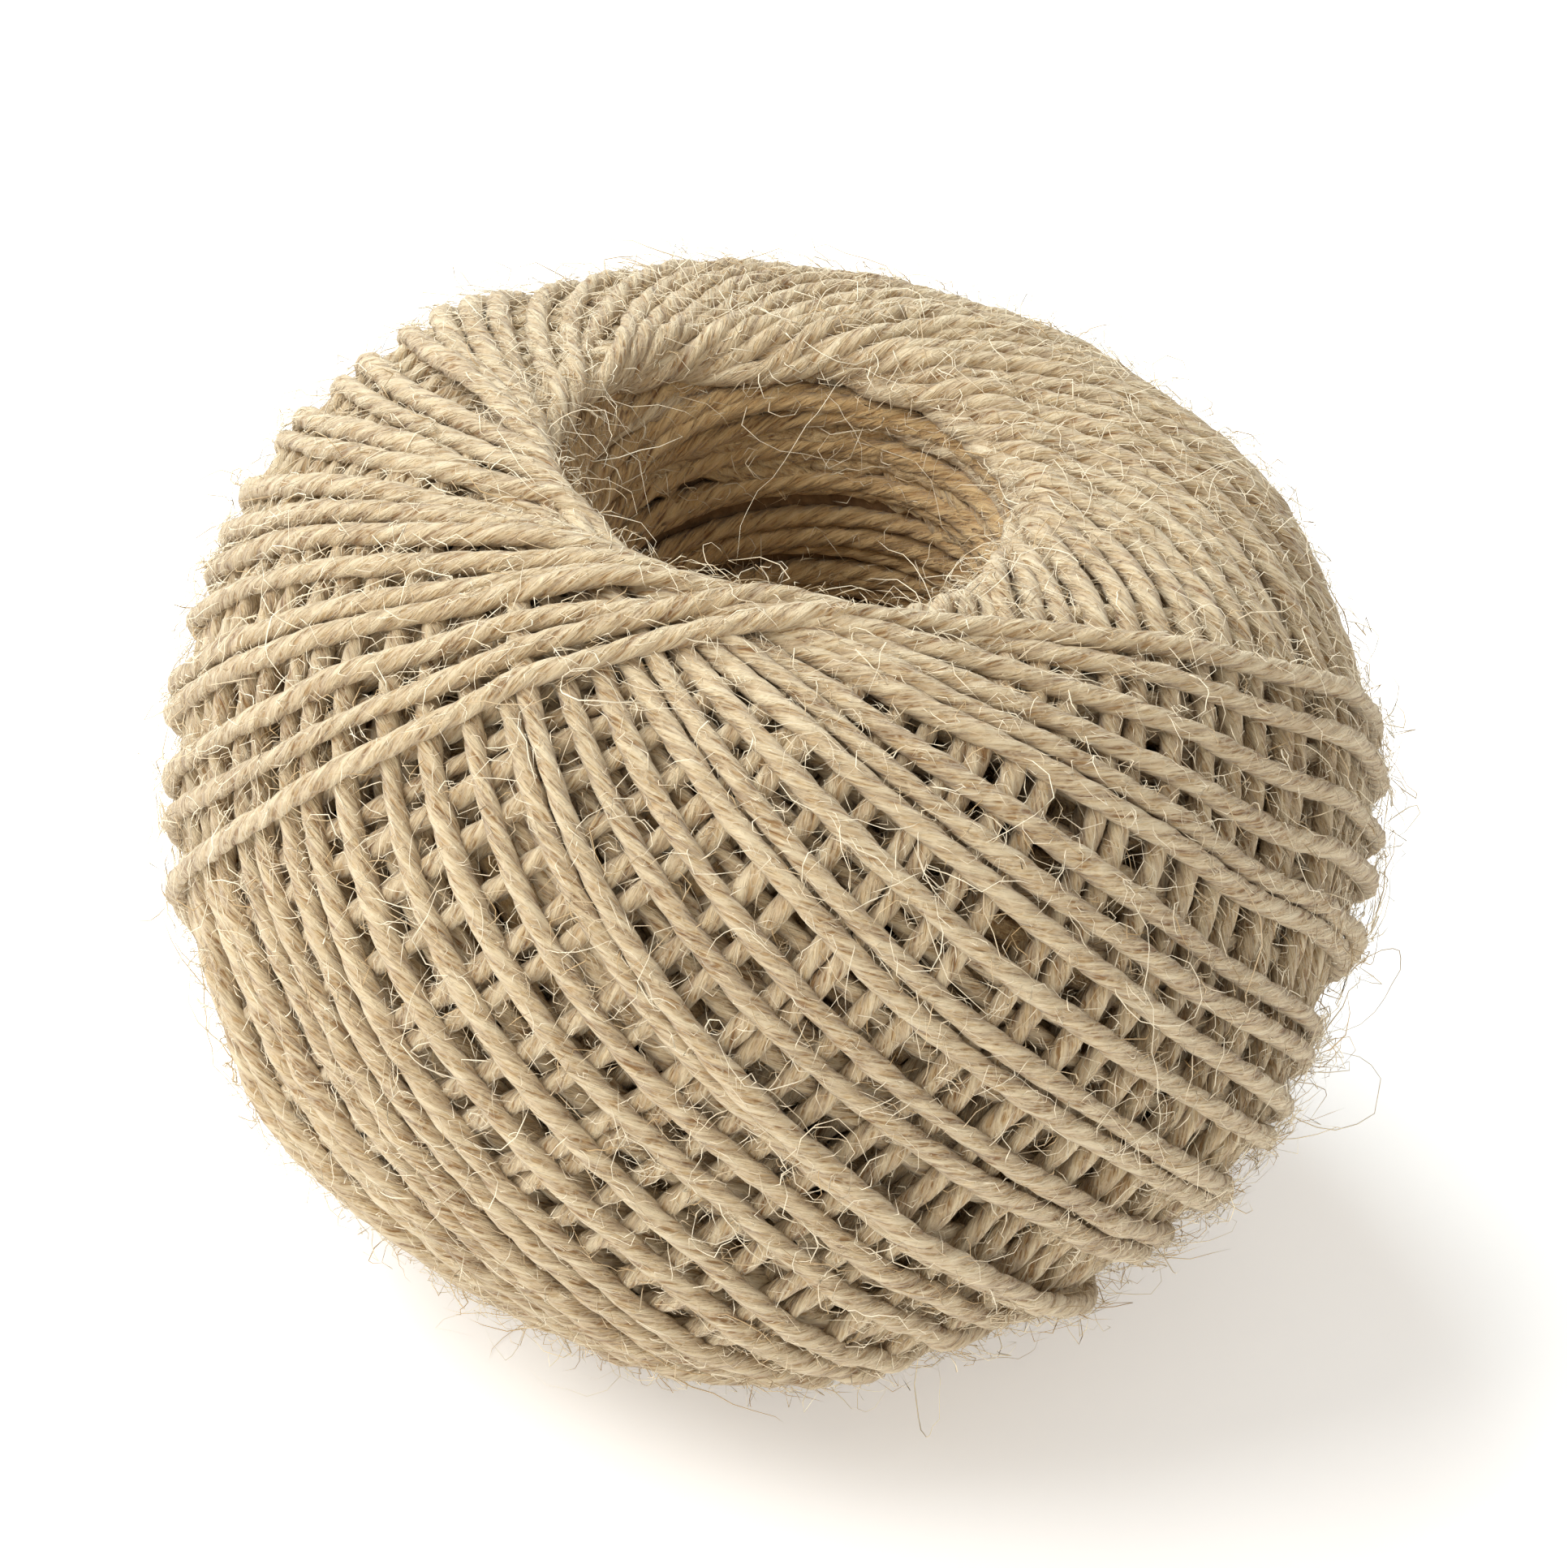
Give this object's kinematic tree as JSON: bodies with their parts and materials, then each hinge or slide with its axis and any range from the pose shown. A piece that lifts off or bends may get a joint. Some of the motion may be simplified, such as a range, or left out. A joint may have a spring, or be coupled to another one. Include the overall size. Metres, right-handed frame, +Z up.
{
  "type": "ball of jute string",
  "caption": "Machine-wound ball of natural jute string with an open centre hole and a small flat round its lower rim to rest on.",
  "frame": {"origin": "middle of the base, on the axis of the centre hole", "axes": "+Z up along the centre hole; +X to the right and +Y away, seen from the front"},
  "size_m": [0.095, 0.095, 0.072],
  "materials": {
    "jute": "matt natural jute, loose fibres"
  },
  "bodies": {
    "root": {"string_ball": "jute"}
  },
  "joints": []
}
